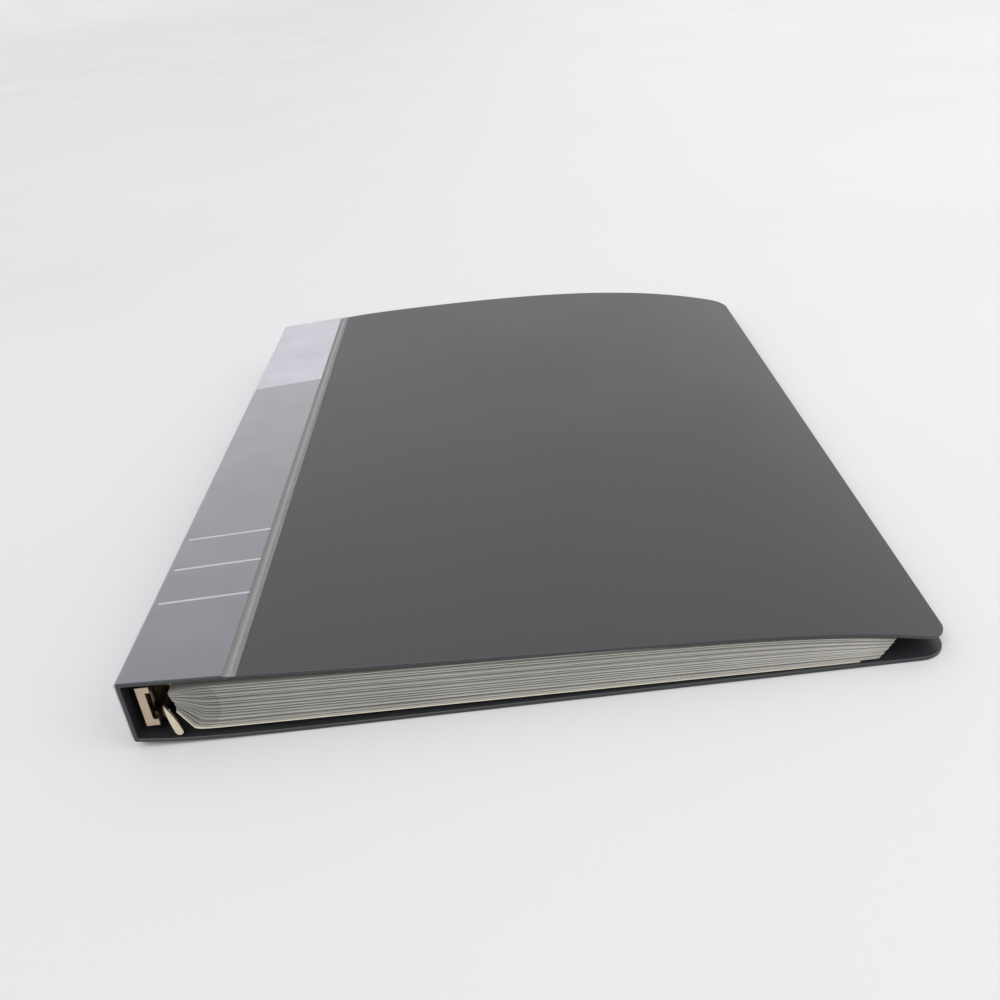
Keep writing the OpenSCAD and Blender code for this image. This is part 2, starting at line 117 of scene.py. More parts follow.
class BinderSizes(bpy.types.PropertyGroup):
    """Sizes of the binder's pieces."""

    cover_w: length("Cover width", "From the spine's outer face to the fore-edge",
                    (BACK_HIGH.x - SPINE_LOW.x) / MM)
    cover_h: length("Cover length", "Along the spine", (SPINE_HIGH.y - SPINE_LOW.y) / MM)
    sheet_t: length("Sheet thickness", "Thickness of the cover sheet", 1.2)
    spine_top: length("Spine top", "Height of the front fold above the table", SPINE_HIGH.z / MM)
    spine_lift: length("Spine lift", "Height of the back fold above the table", 2.7)
    lift_end: length("Lift end", "Distance over which the back cover comes down to the table", 60)
    corner_r: length("Corner radius", "Radius of the covers' fore-edge corners", 7.5)
    fore_edge_z: length("Fore-edge height", "Height of the front cover's top face at the fore-edge", 6.7)
    strip_w: length("Strip width", "Width of the straight strip beside the spine", 36)
    rise_near: length("Near rise", "Rise of that strip's inner edge at the near end", -1.5)
    rise_far: length("Far rise", "Rise of that strip's inner edge at the far end", 1.3)
    crown_near: length("Near crown", "Strength of the crown at the near end", 5.8)
    crown_far: length("Far crown", "Strength of the crown at the far end", 15.2)
    label_inset: length("Label inset", "From the back fold to the label card", 1.3)
    label_end: length("Label edge", "From the spine's outer face to the label card's inner edge", 30.5)
    weld_end: length("Weld edge", "From the spine's outer face to the end of the sleeve's weld", 34.5)
    weld_ridge: length("Weld ridge", "From the spine's outer face to the raised line of the weld", 32.6)
    ridge_h: length("Ridge height", "Height of that raised line", 0.12)
    label_t: length("Label thickness", "Thickness of the label card", 0.25)
    film_t: length("Film thickness", "Thickness of the clear sleeve", 0.2)
    label_play: length("Label play", "Play between sheet, card and film", 0.02)
    ring_r: length("Ring radius", "Radius of a ring's centre line", 6.15)
    ring_pitch: length("Ring pitch", "Distance from ring to ring", 9.5)
    hole_r: length("Hole radius", "Radius of a punched hole, with room for the rings as they open", 3.1)
    edge_margin: length("Edge margin", "From a hole's centre to the leaf's inner edge", 4.1)
    edge_swell: length("Edge swell", "Extra edge margin of the leaves in the middle of the stack", 2.2)
    bend_run: length("Bend run", "From a hole's centre to the leaf's bend", 4.2)
    leaf_near: length("Leaf near inset", "From the covers' near end to the leaves", 1.3)
    leaf_far: length("Leaf far inset", "From the covers' far end to the leaves", 3.7)
    inset_index: length("Index fore inset", "From the fore-edge to the index sheet", 24)
    inset_low: length("Low fore inset", "From the fore-edge to the lowest leaf", 19)
    inset_top: length("Top fore inset", "From the fore-edge to the top leaf", 14)
    leaf_corner_r: length("Leaf corner radius", "Radius of the leaves' fore-edge corners", 1.5)
    core_t: length("Core thickness", "Thickness of a leaf's punched middle sheet", 0.12)
    pocket_t: length("Pocket film thickness", "Thickness of a pocket film", 0.08)


class BinderColours(bpy.types.PropertyGroup):
    """Colours of the binder's materials and of the stage."""

    cover: colour("Cover", "Grained polypropylene of the covers", "#272a2d")
    card: colour("Label card", "Printed grey of the label card at its near end", "#878990")
    # Painted sheen: this far grey is lighter partly to stand in for the film's sheen towards the far end.
    card_far_and_sheen: colour("Label card, far", "Printed grey of the label card beside the block", "#b4b5b9")
    card_block: colour("Label block", "Pale block at the label's far end", "#f2f2fd")
    card_line: colour("Label lines", "Pale cross lines of the label", "#eeeff6")
    film: colour("Sleeve film", "Clear film over the label", "#85888e")
    weld: colour("Sleeve weld", "Clouded film where the sleeve is welded", "#b9bcb9")
    steel: colour("Plated steel", "Warm nickel plate of the mechanism", "#c3b29b")
    lever: colour("Lever plate", "Burnished nickel plate of the lever", "#e8dcc6")
    leaf: colour("Leaf film", "Frosted film of the leaves", "#b6b5ae")
    paper: colour("Index paper", "Cream paper of the index sheet", "#efe8d6")
    floor: colour("Floor", "Pale studio floor and backdrop", "#e6e4e6")


class BinderSettings(bpy.types.PropertyGroup):
    """Everything that the sidebar shows."""

    sizes: PointerProperty(type=BinderSizes, name="Sizes", description="Sizes of the pieces")
    colours: PointerProperty(type=BinderColours, name="Colours", description="Colours of the materials")
    wave_seed: IntProperty(
        name="Wave seed", description="Seed of the leaves' small waves and uneven ends", default=11, min=0
    )


def in_mm(scene):
    """The sizes in millimetres, with the values that follow from them."""
    sizes = scene.binder.sizes
    b = SimpleNamespace(**{key: getattr(sizes, key) / MM for key in BinderSizes.__annotations__})
    b.fold_r = b.sheet_t / 2
    b.y_near = -b.cover_h / 2
    b.front_axis_z = b.spine_top - b.fold_r
    b.back_axis_z = SPINE_LOW.z / MM + b.fold_r
    b.mid_z = RING_CENTRE[2] / MM
    b.ring_x = (RING_CENTRE[0] - SPINE_LOW.x) / MM
    b.leaf_ends = (b.y_near + b.leaf_near, -b.y_near - b.leaf_far)
    return b


# Shapes


def place(x, y, z):
    """Points in the frame's metres from millimetres counted from the spine's outer face."""
    x, y, z = np.broadcast_arrays(x, y, z)
    return np.stack((x * MM + SPINE_LOW.x, y * MM, z * MM), -1).reshape(-1, 3)


def lift(b, x):
    """Height of the back cover's underside: an exponential fall from the fold to the table."""
    decay = 3.75
    fall = np.exp(-decay * x / b.lift_end) - math.exp(-decay)
    return b.spine_lift * np.maximum(0, fall) / (1 - math.exp(-decay))


def front_top(b, x, v):
    """Height of the front cover's top face at x and at share v of the length.

    A straight strip beside the spine, then a chord to the fore-edge plus a crown: a rising power of the
    run minus a steeper one, mixed between the near and the far end.
    """
    rise = b.rise_near + (b.rise_far - b.rise_near) * v
    strip = b.spine_top + rise * np.minimum(x, b.strip_w) / b.strip_w
    u = np.clip((x - b.strip_w) / (b.cover_w - b.strip_w), 0, 1)
    near, far = (u ** rising - u ** steeper for rising, steeper in (NEAR_CROWN, FAR_CROWN))
    crown = (1 - v) * b.crown_near * near + v * b.crown_far * far
    return strip + (b.fore_edge_z - strip) * u + crown


def arc(centre, radius, from_deg, to_deg, steps):
    """Points on a circle in x and z, from one angle to another."""
    t = np.radians(np.linspace(from_deg, to_deg, steps))
    return centre[0] + radius * np.cos(t), centre[1] + radius * np.sin(t)


def grid_quads(rows, columns):
    """Quads of a grid whose points run along the columns first."""
    i = (np.arange(rows - 1)[:, None] * columns + np.arange(columns - 1)).ravel()
    return np.stack((i, i + 1, i + columns + 1, i + columns), 1)


def new_piece(name, points, faces, material):
    """A mesh object at the origin with smooth shading and crisp edges.

    The sign of the volume under its quads says whether they have to be turned outwards.
    """
    crisp_deg = 40
    a, b, c, d = (points[faces[:, corner]] for corner in range(4))
    volume = np.einsum("ij,ij->", a, np.cross(b, c) + np.cross(c, d))
    if volume < 0:
        faces = faces[:, ::-1]
    mesh = bpy.data.meshes.new(name)
    mesh.from_pydata(points.tolist(), [], faces.tolist())
    mesh.shade_smooth()
    mesh.set_sharp_from_angle(angle=math.radians(crisp_deg))
    mesh.materials.append(material)
    piece = bpy.data.objects.new(name, mesh)
    bpy.context.scene.collection.objects.link(piece)
    return piece


def shell(outer, inner, quads):
    """A closed shell as points and faces.

    It has the quads on the outer points, the same turned over on the inner points, and a rim along every
    edge that only one quad uses.
    """
    edges = np.stack((quads, np.roll(quads, -1, 1)), -1).reshape(-1, 2)
    _, first, uses = np.unique(np.sort(edges, 1), axis=0, return_index=True, return_counts=True)
    rim = edges[first[uses == 1]]
    count = len(outer)
    sides = np.stack((rim[:, 1], rim[:, 0], rim[:, 0] + count, rim[:, 1] + count), 1)
    return np.concatenate((outer, inner)), np.concatenate((quads, quads[:, ::-1] + count, sides))


def joined(shells):
    """Several shells as one set of points and faces."""
    starts = np.cumsum([0] + [len(points) for points, _ in shells[:-1]])
    return (np.concatenate([points for points, _ in shells]),
            np.concatenate([faces + start for (_, faces), start in zip(shells, starts)]))


def round_edges(piece, width_mm):
    """Rounds the piece's edges where its faces turn by more than 50 degrees."""
    bevel = piece.modifiers.new("rounded_edges", "BEVEL")
    bevel.width = width_mm * MM
    bevel.segments = 2
    bevel.limit_method = "ANGLE"
    bevel.angle_limit = math.radians(50)


def corner_limit(x, x_end, y_end, radius):
    """Half length of a sheet at x, with its corners at x_end rounded by a quarter circle."""
    into = np.clip(x - (x_end - radius), 0, radius)
    return y_end - radius + np.sqrt(radius ** 2 - into ** 2)


def cover_stations(b, start):
    """Places in x across a cover: even steps, then closer ones round the corner."""
    even_steps, corner_steps = 52, 8
    even = np.linspace(start, b.cover_w - b.corner_r, even_steps)
    turn = np.radians(np.linspace(90 / corner_steps, 90, corner_steps))
    return np.concatenate((even, b.cover_w - b.corner_r * (1 - np.sin(turn))))


# Materials


def fill(tree, made, inputs):
    """Sets or links a node's inputs by name or number."""
    for key, value in inputs.items():
        if isinstance(value, bpy.types.NodeSocket):
            tree.links.new(value, made.inputs[key])
        else:
            made.inputs[key].default_value = value


def node(tree, kind, inputs=None, **settings):
    """Adds a node with its settings and inputs."""
    made = tree.nodes.new(kind)
    for key, value in settings.items():
        setattr(made, key, value)
    fill(tree, made, inputs or {})
    return made


def axes_of(tree, where):
    """The three coordinates of a place."""
    return node(tree, "ShaderNodeSeparateXYZ", {"Vector": where}).outputs


def noise(tree, where, size_mm, detail):
    """Noise whose features are about this large."""
    inputs = {"Vector": where, "Scale": 1 / (size_mm * MM), "Detail": detail}
    return node(tree, "ShaderNodeTexNoise", inputs).outputs["Fac"]


def maths(tree, operation, *values, **settings):
    """One step of arithmetic."""
    return node(tree, "ShaderNodeMath", dict(enumerate(values)), operation=operation, **settings).outputs[0]


def remap(tree, value, low, high, to_low=0.0, to_high=1.0, **settings):
    """A value mapped from one range to another."""
    inputs = {"Value": value, "From Min": low, "From Max": high, "To Min": to_low, "To Max": to_high}
    return node(tree, "ShaderNodeMapRange", inputs, **settings).outputs["Result"]


def mix(tree, factor, a, b, **settings):
    """A mix of two colours."""
    inputs = {"Factor": factor, "A": a, "B": b}
    return node(tree, "ShaderNodeMix", inputs, data_type="RGBA", **settings).outputs["Result"]


def relief(tree, height, strength, depth_mm):
    """A normal tilted by small bumps of this depth."""
    inputs = {"Height": height, "Strength": strength, "Distance": depth_mm * MM}
    return node(tree, "ShaderNodeBump", inputs).outputs["Normal"]


def new_material(name):
    """A material with its Principled shader, and the object's coordinates."""
    material = bpy.data.materials.new(name)
    material.use_nodes = True
    tree = material.node_tree
    shader = tree.nodes["Principled BSDF"]
    where = node(tree, "ShaderNodeTexCoord").outputs["Object"]
    return material, tree, shader, where


def shade(rgb, factor):
    """A colour made darker or lighter, with full alpha."""
    return tuple(min(1.0, channel * factor) for channel in rgb) + (1.0,)


def grained_polypropylene(colours):
    """Extruded polypropylene sheet with a fine matt grain.

    The grain, 0.5 mm on the real sheet, is drawn at 0.9 mm so that it shows. It spreads the room's
    reflection into a soft sheen, and handling leaves faintly smoother patches a few centimetres wide.
    """
    material, tree, shader, where = new_material("grained_polypropylene")
    grain = noise(tree, where, 0.9, 2.0)
    patches = noise(tree, where, 55, 3.0)
    fill(tree, shader, {
        "Base Color": mix(tree, grain, shade(colours.cover, 0.82), shade(colours.cover, 1.2)),
        "Roughness": remap(tree, patches, *NOISE_RANGE, 0.37, 0.41),
        "Normal": relief(tree, grain, 0.25, 0.04),
        "IOR": 1.6,
    })
    return material


def printed_card(colours, b):
    """Grey printed card under clear film, so it has the film's gloss as a coat.

    The print is plain, and a little askew: a grey that pales slowly along the card, the paling partly print
    and partly painted sheen of the film; three pale cross lines 1 mm wide that start just inside the fold;
    and a pale block at the far end.
    """
    material, tree, shader, where = new_material("printed_card")
    askew = 0.085
    line_start = SPINE_LOW.x + 2 * MM
    half_line = 0.5 * MM
    axes = axes_of(tree, where)
    along = maths(tree, "MULTIPLY_ADD", axes["X"], -askew, axes["Y"])
    on_cover = maths(tree, "GREATER_THAN", axes["X"], line_start)

    def level(from_near):
        """Value of the askew coordinate at this distance from the near end."""
        return (b.y_near + from_near) * MM - askew * line_start

    mottle = remap(tree, noise(tree, where, 2.5, 4.0), 0.0, 1.0, 0.95, 1.05)
    # Painted sheen: the grey pales towards the far end, partly print and partly standing in for the film's
    # sheen.
    print_and_sheen_paling = remap(tree, along, level(0), level(LABEL_BLOCK))
    tone = mix(tree, print_and_sheen_paling, shade(colours.card, 1), shade(colours.card_far_and_sheen, 1))
    tone = mix(tree, 1.0, tone, mottle, blend_type="MULTIPLY")
    block = maths(tree, "GREATER_THAN", along, level(LABEL_BLOCK))
    tone = mix(tree, block, tone, shade(colours.card_block, 1))
    for from_near in LABEL_LINES:
        line = maths(tree, "COMPARE", along, level(from_near), half_line)
        shown = maths(tree, "MULTIPLY", line, on_cover)
        tone = mix(tree, shown, tone, shade(colours.card_line, 1))
    fill(tree, shader, {
        "Base Color": tone, "Roughness": 0.22, "Coat Weight": 1.0, "Coat Roughness": 0.14,
    })
    return material


def clear_film(colours, b):
    """Clear soft film, calendered smooth, with slow waves 14 mm long where it lies loose.

    Beyond the card the heat of the weld clouds it, most along the weld's raised line.
    """
    material, tree, shader, where = new_material("clear_film")
    weld_haze, ridge_haze = 0.1, 0.17
    edge = SPINE_LOW.x + b.label_end * MM
    ridge_x = SPINE_LOW.x + b.weld_ridge * MM
    across = axes_of(tree, where)["X"]
    waves = noise(tree, where, 14, 2.0)
    haze = remap(tree, waves, *NOISE_RANGE, 0.13, 0.17)
    weld = remap(tree, across, edge, edge + WELD_RUN * MM, 0.0, weld_haze, interpolation_type="SMOOTHSTEP")
    away = maths(tree, "ABSOLUTE", maths(tree, "SUBTRACT", across, ridge_x))
    ridge = remap(tree, away, 0.25 * MM, 0.9 * MM, ridge_haze, 0.0, interpolation_type="SMOOTHSTEP")
    welded = maths(tree, "GREATER_THAN", across, edge)
    fill(tree, shader, {
        "Base Color": mix(tree, welded, shade(colours.film, 1), shade(colours.weld, 1)),
        "Normal": relief(tree, waves, 0.25, 0.3),
        "Alpha": maths(tree, "ADD", haze, maths(tree, "ADD", weld, ridge)),
        "Roughness": 0.12,
    })
    return material


def nickel_plate(name, rgb, rough_low, rough_high, bright_from=-1.0):
    """Stamped steel with a warm nickel plate: drawn streaks along the strip, and faint spots.

    On the spine's side of bright_from, a place on the x axis, it is painted dark: painted shade of the spine
    over the lever's barrel.
    """
    material, tree, shader, where = new_material(name)
    # Painted shade: on the spine's side of bright_from the plate is painted dark.
    out_of_painted_shade = remap(tree, axes_of(tree, where)["X"], bright_from - 0.5 * MM, bright_from + 0.5 * MM)
    drawn = node(tree, "ShaderNodeMapping", {"Vector": where, "Scale": (1.0, 0.06, 1.0)}).outputs["Vector"]
    streaks = noise(tree, drawn, 0.5, 3.0)
    spots = noise(tree, where, 3, 4.0)
    tone = mix(tree, spots, shade(rgb, 0.88), shade(rgb, 1.06))
    fill(tree, shader, {
        "Base Color": mix(tree, out_of_painted_shade, shade(rgb, 0.12), tone),
        "Roughness": remap(tree, streaks, *NOISE_RANGE, rough_low, rough_high),
        "Normal": relief(tree, streaks, 0.2, 0.02),
        "Metallic": 1.0,
    })
    return material


def frosted_film(colours, b):
    """Frosted polypropylene pocket film: soft gloss, and painted shade that makes it darker towards the
    rings and lighter towards the fore-edge.

    It is darker along the weld lines, which have cleared the frost.
    """
    material, tree, shader, where = new_material("frosted_film")
    axes = axes_of(tree, where)
    haze = noise(tree, where, 18, 3.0)
    fine = noise(tree, where, 1.2, 2.0)
    tone = mix(tree, haze, shade(colours.leaf, 0.86), shade(colours.leaf, 1.14))
    # Painted shade: darker towards the spine, where the spread leaves shade each other, and lighter towards
    # the fore-edge.
    grey = remap(tree, axes["X"], SPINE_LOW.x, BACK_HIGH.x, 0.86, 1.12)
    tone = mix(tree, 1.0, tone, grey, blend_type="MULTIPLY")
    low, high = (end * MM for end in b.leaf_ends)
    short_of_end, half_seam, middle_x = 3 * MM, 0.7 * MM, SPINE_LOW.x + 117 * MM
    inside = maths(tree, "COMPARE", axes["Y"], (low + high) / 2, (high - low) / 2 - short_of_end)
    for axis, seam in [("Y", row * MM) for row in pocket_rows(b)] + [("X", middle_x)]:
        line = maths(tree, "COMPARE", axes[axis], seam, half_seam)
        shown = maths(tree, "MULTIPLY", line, inside)
        tone = mix(tree, shown, tone, shade(colours.leaf, 0.62))
    fill(tree, shader, {"Base Color": tone, "Normal": relief(tree, fine, 0.2, 0.03), "Roughness": 0.38})
    return material


def index_stock(colours):
    """Uncoated cream paper with short fibres."""
    material, tree, shader, where = new_material("index_stock")
    fibre = noise(tree, where, 1.5, 5.0)
    tone = mix(tree, fibre, shade(colours.paper, 0.9), shade(colours.paper, 1.05))
    fill(tree, shader, {"Base Color": tone, "Normal": relief(tree, fibre, 0.2, 0.03), "Roughness": 0.8})
    return material


def studio_paper(colours):
    """Matt pale backdrop paper with painted light: darker on the left and lighter on the right, with faint
    clouds 300 mm wide.
    """
    material, tree, shader, where = new_material("studio_paper")
    # Painted light: the paper is darker on the left and lighter on the right.
    side = remap(tree, axes_of(tree, where)["X"], -0.45, 0.45, interpolation_type="SMOOTHSTEP")
    cloud = noise(tree, where, 300, 3.0)
    paper = mix(tree, side, shade(colours.floor, 0.95), shade(colours.floor, 1.17))
    fill(tree, shader, {
        "Base Color": mix(tree, cloud, paper, shade(colours.floor, 1.06)), "Roughness": 0.9,
    })
    return material


# Pieces


class BINDER_OT_covers(bpy.types.Operator):
    """Makes the creased cover sheet, split where the spine's label hides the seam"""

    bl_idname = "binder.covers"
    bl_label = "Covers"

    def execute(self, context):
        b = in_mm(context.scene)
        sheet = grained_polypropylene(context.scene.binder.colours)
        rows = np.linspace(-1, 1, 49)[:, None]
        spine_steps, fold_steps = 5, 9
        fillet, edge_round = 0.5, 0.18
        spine_z = np.linspace(b.mid_z, b.front_axis_z, spine_steps)[:-1]
        inner_x = b.sheet_t + fillet
        stations = cover_stations(b, inner_x + 1)
        half = -b.y_near

        # Front: up the spine, round the fold, over the cover. The inner line is one sheet thickness in.
        fold_out = arc((b.fold_r, b.front_axis_z), b.fold_r, 180, 90, fold_steps)
        fold_in = arc((inner_x, b.spine_top - b.sheet_t - fillet), fillet, 180, 90, fold_steps)
        out_x = np.concatenate((0 * spine_z, fold_out[0], stations))
        in_x = np.concatenate((0 * spine_z + b.sheet_t, fold_in[0], stations))
        y = rows * corner_limit(out_x, b.cover_w, half, b.corner_r)
        flat = np.arange(len(out_x)) >= len(spine_z) + len(fold_out[0])
        top = front_top(b, out_x, (y - b.y_near) / b.cover_h)
        out_z = np.where(flat, top, np.concatenate((spine_z, fold_out[1], stations)))
        in_spine = np.linspace(b.mid_z, fold_in[1][0], spine_steps)[:-1]
        in_z = np.where(flat, top - b.sheet_t, np.concatenate((in_spine, fold_in[1], stations)))
        quads = grid_quads(len(rows), len(out_x))
        front = new_piece("cover_front", *shell(place(out_x, y, out_z), place(in_x, y, in_z), quads), sheet)
        round_edges(front, edge_round)
        bend = 0.3
        place(b.fold_r - bend, 0, b.front_axis_z - bend)[0]
        place(b.fold_r + bend, 0, b.front_axis_z + bend)[0]
        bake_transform(front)
        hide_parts("front_cover", "spine_panel")

        # Back: down the spine, round the fold, out to the fore-edge.
        back_spine = np.linspace(b.mid_z, b.back_axis_z, spine_steps)[:-1]
        fold_out = arc((b.fold_r, b.back_axis_z), b.fold_r, 180, 270, fold_steps)
        fillet_z = float(lift(b, inner_x)) + b.sheet_t + fillet
        fold_in = arc((inner_x, fillet_z), fillet, 180, 270, fold_steps)
        in_spine = np.linspace(b.mid_z, fillet_z, spine_steps)[:-1]
        low = lift(b, stations)
        out_z = np.concatenate((back_spine, fold_out[1], low))
        in_z = np.concatenate((in_spine, fold_in[1], low + b.sheet_t))
        back = new_piece("cover_back", *shell(place(out_x, y, out_z), place(in_x, y, in_z), quads), sheet)
        round_edges(back, edge_round)
        place(b.fold_r + bend, 0, b.back_axis_z - bend)[0]
        place(b.fold_r - bend, 0, b.back_axis_z + bend)[0]
        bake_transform(back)
        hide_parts("back_cover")
        return {"FINISHED"}


class BINDER_OT_label(bpy.types.Operator):
    """Makes the label card and its clear sleeve, which go from the spine over the front fold"""

    bl_idname = "binder.label"
    bl_label = "Label"

    def execute(self, context):
        b = in_mm(context.scene)
        colours = context.scene.binder.colours
        card_low = b.back_axis_z + b.label_inset
        over_card = b.label_t + 2 * b.label_play
        card_inset, weld_over, ridge_reach = 0.3, 0.5, 0.6
        self.skin(b, "label_card", printed_card(colours, b), card_low, b.label_end,
                  lambda s: 0 * s + b.label_play, b.label_t, card_inset, 0.0)

        def rests(s):
            """Height of the film over the sheet: on the card, down to its welded edges, over the ridge."""
            down = np.clip((s - b.label_end) / WELD_RUN, 0, 1)
            up = np.clip((b.label_inset + s - card_low + b.front_axis_z) / b.label_inset, 0, 1)
            ridge = b.ridge_h * np.exp(-((s - b.weld_ridge) / ridge_reach) ** 2)
            return b.label_play + (over_card - b.label_play) * (1 - down ** 2 * (3 - 2 * down)) * up + ridge

        self.skin(b, "label_sleeve", clear_film(colours, b), b.back_axis_z, b.weld_end,
                  rests, b.film_t, 0.0, weld_over)
        return {"FINISHED"}

    @staticmethod
    def skin(b, name, material, low, end_x, height, thickness, inset, weld_over):
        """A thin skin over the sheet.

        s runs from below zero on the spine, where it is the distance under the fold, over the fold, to x on
        the cover. height(s) is the skin's distance from the sheet.
        """
        rows, flat_steps, turn_steps = 49, 14, 9
        past_fold = 1.6
        spine = np.linspace(low - b.front_axis_z, 0, flat_steps)[:-1]
        turns = np.radians(np.linspace(180, 90, turn_steps))
        cover = np.linspace(past_fold, b.label_end, flat_steps)
        if end_x > b.label_end:
            cover = np.concatenate((cover, np.linspace(b.label_end, end_x, turn_steps)[1:]))
        s = np.concatenate((spine, np.linspace(0, b.fold_r, turn_steps), cover))
        y = np.linspace(b.y_near + inset, -b.y_near - inset, rows)[:, None] + 0 * s
        y = y + np.where(s > b.label_end, weld_over, 0) * np.linspace(-1, 1, rows)[:, None]
        on_cover = np.arange(len(s)) >= len(spine) + len(turns)
        on_fold = (np.arange(len(s)) >= len(spine)) & ~on_cover
        turn = np.zeros(len(s))
        turn[on_fold] = turns
        v = np.clip((y - b.y_near) / b.cover_h, 0, 1)

        def layer(offset):
            """Points at this distance from the sheet: beside the spine, round the fold, above the cover."""
            radius = b.fold_r + offset
            fold_x, fold_z = b.fold_r + radius * np.cos(turn), b.front_axis_z + radius * np.sin(turn)
            x = np.where(on_cover, s, np.where(on_fold, fold_x, -offset))
            z = np.where(on_cover, front_top(b, np.maximum(s, 0), v) + offset,
                         np.where(on_fold, fold_z, b.front_axis_z + s))
            return place(x + 0 * y, y, z)

        under = height(s)
        points, faces = shell(layer(under + thickness), layer(under), grid_quads(rows, len(s)))
        piece = new_piece(name, points, faces, material)
        bend = 0.3
        place(b.fold_r - bend, 0, b.front_axis_z - bend)[0]
        place(b.fold_r + bend, 0, b.front_axis_z + bend)[0]
        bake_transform(piece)
        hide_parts(name + "_front", name + "_spine")


class BINDER_OT_mechanism(bpy.types.Operator):
    """Plates the steel pieces of the ring mechanism and rounds their edges"""

    bl_idname = "binder.mechanism"
    bl_label = "Ring mechanism"

    def execute(self, context):
        colours = context.scene.binder.colours
        lever_pivot_x = JOINTS["lever_press"]["pos_m"][0]
        tongue_from = 3.5 * MM
        plate = nickel_plate("nickel_plate", colours.steel, 0.26, 0.42)
        # The lever's barrel, on the spine's side of its tongue, gets painted shade.
        burnished = nickel_plate("burnished_nickel", colours.lever, 0.18, 0.3,
                                 bright_from=lever_pivot_x + tongue_from)
        for name in STEEL_NODES:
            piece = frame["nodes"][name]
            piece.data.materials.clear()
            piece.data.materials.append(burnished if name == "release_lever" else plate)
        for name, width in (("ring_channel", 0.22), ("release_lever", 0.25)):
            weld = frame["nodes"][name].modifiers.new("joined_faces", "WELD")
            weld.merge_threshold = 0.001 * MM
            round_edges(frame["nodes"][name], width)
        return {"FINISHED"}


